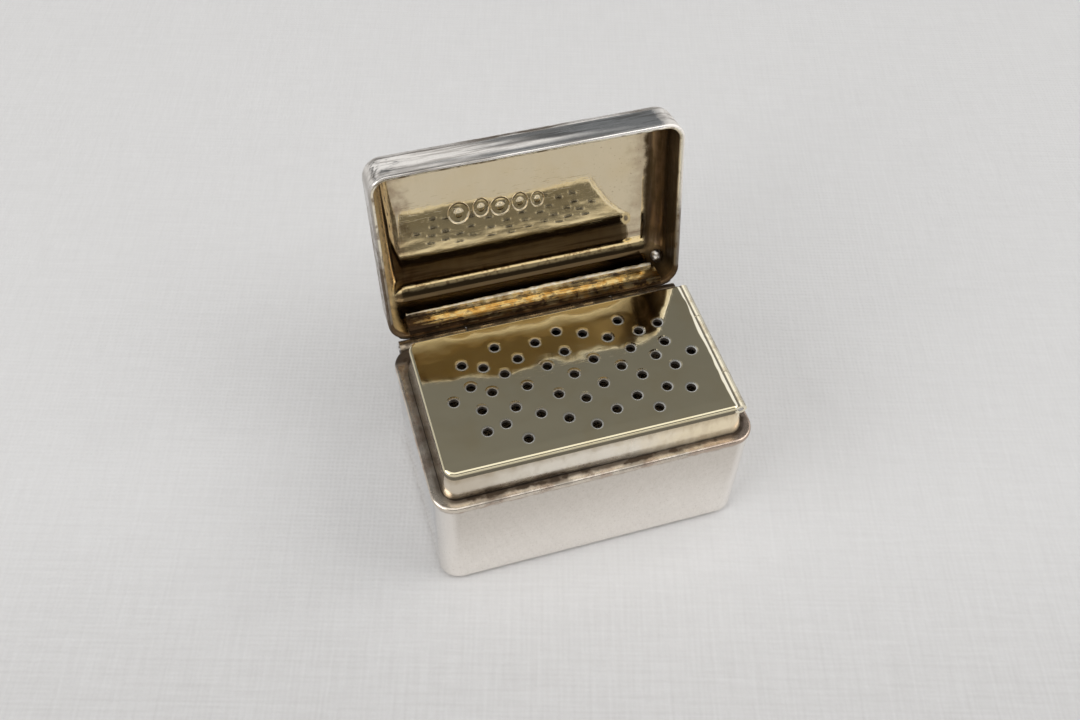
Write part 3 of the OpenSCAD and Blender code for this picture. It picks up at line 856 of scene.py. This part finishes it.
# painted shade: the open pores are made nearly black
open_pore = rise(pores, 0.34, 0.12)
fibre = cloud(place, 3.0, 4.0, 0.6)
plug(shader, coats(SPONGE_BROWN, (fibre, SPONGE_TAN), (open_pore, PORE_SHADE)),
     0.85 + 0.1 * fibre, fibre * 0.15 - open_pore * 0.4, metallic=0.0)
cut_sponge = make_piece("cut_sponge", shape, sponge_tan, "body", "sponge")

# %% [markdown]
# ## Floor and light
#
# The box stands on a plain pale cloth, with a soft painted shadow that darkens it towards the
# front. The weave is two sets of sine waves, set askew to the box and made uneven by noise, which
# is enough for threads this fine.

# %% Floor
THREAD = 0.52
CLOTH_LOW, CLOTH_LOW_SHADOWED = (0.645, 0.634, 0.625), (0.50, 0.485, 0.475)
CLOTH_HIGH, CLOTH_HIGH_SHADOWED = (0.735, 0.727, 0.72), (0.68, 0.672, 0.665)

shape = bmesh.new()
bmesh.ops.create_grid(shape, x_segments=1, y_segments=1, size=1.5)
bmesh.ops.translate(shape, verts=shape.verts[:], vec=(0, 0, -0.02 * MM))
mesh = bpy.data.meshes.new("pale_cloth")
shape.to_mesh(mesh)
shape.free()
floor = bpy.data.objects.new("pale_cloth", mesh)
bpy.context.scene.collection.objects.link(floor)

cloth, wire, shader = new_finish("pale_cloth")
place = wire.add("ShaderNodeVectorRotate", {"rotation_type": "Z_AXIS"},
                 {"Vector": place_mm(wire), "Center": (0, 0, 0), "Angle": math.radians(17)})
x, y, _ = axes(place)
slub = cloud(place, 0.9, 3.0, 0.6)
warp, weft = ((line + slub * 0.5) * (math.pi / THREAD) for line in (x, y))
threads = warp.sum("SINE", warp) ** 2.0 + weft.sum("SINE", weft) ** 2.0
uneven = (cloud(place, 1.0, 2.0, 0.5, (0.15, 2.0, 1.0))
          + cloud(place, 1.0, 2.0, 0.5, (2.0, 0.15, 1.0)))
# painted shadow: the cloth darkens towards the front
front = rise(y, 0.0, -40.0)
colour = tint(0.06 * threads + 0.55 * uneven, tint(front, CLOTH_LOW, CLOTH_LOW_SHADOWED),
              tint(front, CLOTH_HIGH, CLOTH_HIGH_SHADOWED))
plug(shader, colour, 0.9, threads * 0.012 + slub * 0.05, metallic=0.0)
shader.inputs["Specular IOR Level"].default_value = 0.1
mesh.materials.append(cloth)
print("floor finish:", cloth.name)

# %% [markdown]
# Polished metal shows whatever is round it, so the light is also what the silver looks like: a dim
# ceiling over the grille, pale walls, and behind the box one bright and one dark band, which draw
# the stripes along the lid's edge. The room is a colour for each height, one set of colours for the
# walls at the sides, one before the box and one behind it, with a window at the right.

# %% World
world = bpy.data.worlds.new("room")
bpy.context.scene.world = world
world.use_nodes = True
tree = world.node_tree
tree.nodes.clear()
wire = Wire(tree)
across, depth, height = axes(wire.add("ShaderNodeTexCoord", out="Generated"))


def grey(level, cool=0.0):
    """A grey of that level, bluer the cooler it is."""
    return (level * (1 - cool), level, level * (1 + cool), 1)


def by_height(*stops):
    """A colour for each height in the room, from the horizon at 0 to the zenith at 1."""
    return height.add("ShaderNodeValToRGB", {"stops": stops}, {0: height})


walls = by_height((0.0, grey(0.62)), (0.12, grey(0.72)), (0.35, grey(0.55)),
                  (0.55, grey(0.26)), (0.75, grey(0.20)), (1.0, grey(0.21)))
before = by_height((0.0, grey(0.62)), (0.02, grey(0.88)), (0.272, grey(0.95)),
                   (0.297, grey(0.22)), (0.55, grey(0.20)), (1.0, grey(0.21)))
behind = by_height((0.0, grey(0.55)), (0.03, grey(0.10)), (0.10, grey(0.12)),
                   (0.13, grey(0.85)), (0.29, grey(0.80)), (0.34, grey(0.15, 0.08)),
                   (0.5, grey(0.19, 0.06)), (0.72, grey(0.175)), (0.86, grey(0.235)))
window = rise(across, 0.42, 0.56) * rise(height, 0.04, 0.12) * rise(height, 0.75, 0.62)
room = coats(walls, (rise(depth, 0.40, 0.72), behind), (rise(depth, -0.35, -0.65), before),
             (window, (1.0, 1.0, 1.0)))
glow = wire.add("ShaderNodeBackground", None, {"Color": room, "Strength": 1.0})
tree.links.new(glow.socket, tree.nodes.new("ShaderNodeOutputWorld").inputs[0])
print("room nodes:", len(tree.nodes))

# %% [markdown]
# Three soft lamps give the room its direction: a wide one above for the floor, one at the right and
# a weaker, nearer one at the left, so that no side of the box is lost in shadow.

# %% Lamps
AIM = Vector((0, 0, 0.01))


def soft_box(name, width, tall, spot, power):
    """A rectangular lamp at spot that faces the box."""
    lamp = bpy.data.lights.new(name, "AREA")
    lamp.shape, lamp.size, lamp.size_y, lamp.energy = "RECTANGLE", width, tall, power
    box = bpy.data.objects.new(name, lamp)
    box.location = spot
    box.rotation_mode = "QUATERNION"
    box.rotation_quaternion = (AIM - Vector(spot)).to_track_quat("-Z", "Y")
    bpy.context.scene.collection.objects.link(box)
    print("lamp:", name, power, "W")


soft_box("top", 1.3, 1.0, (0.0, -0.15, 0.95), 4.0)
soft_box("key", 0.4, 0.4, (0.50, -0.15, 0.55), 1.2)
soft_box("fill", 0.6, 0.5, (-0.65, -0.15, 0.40), 2.7)
bpy.context.scene.view_settings.view_transform = "Standard"
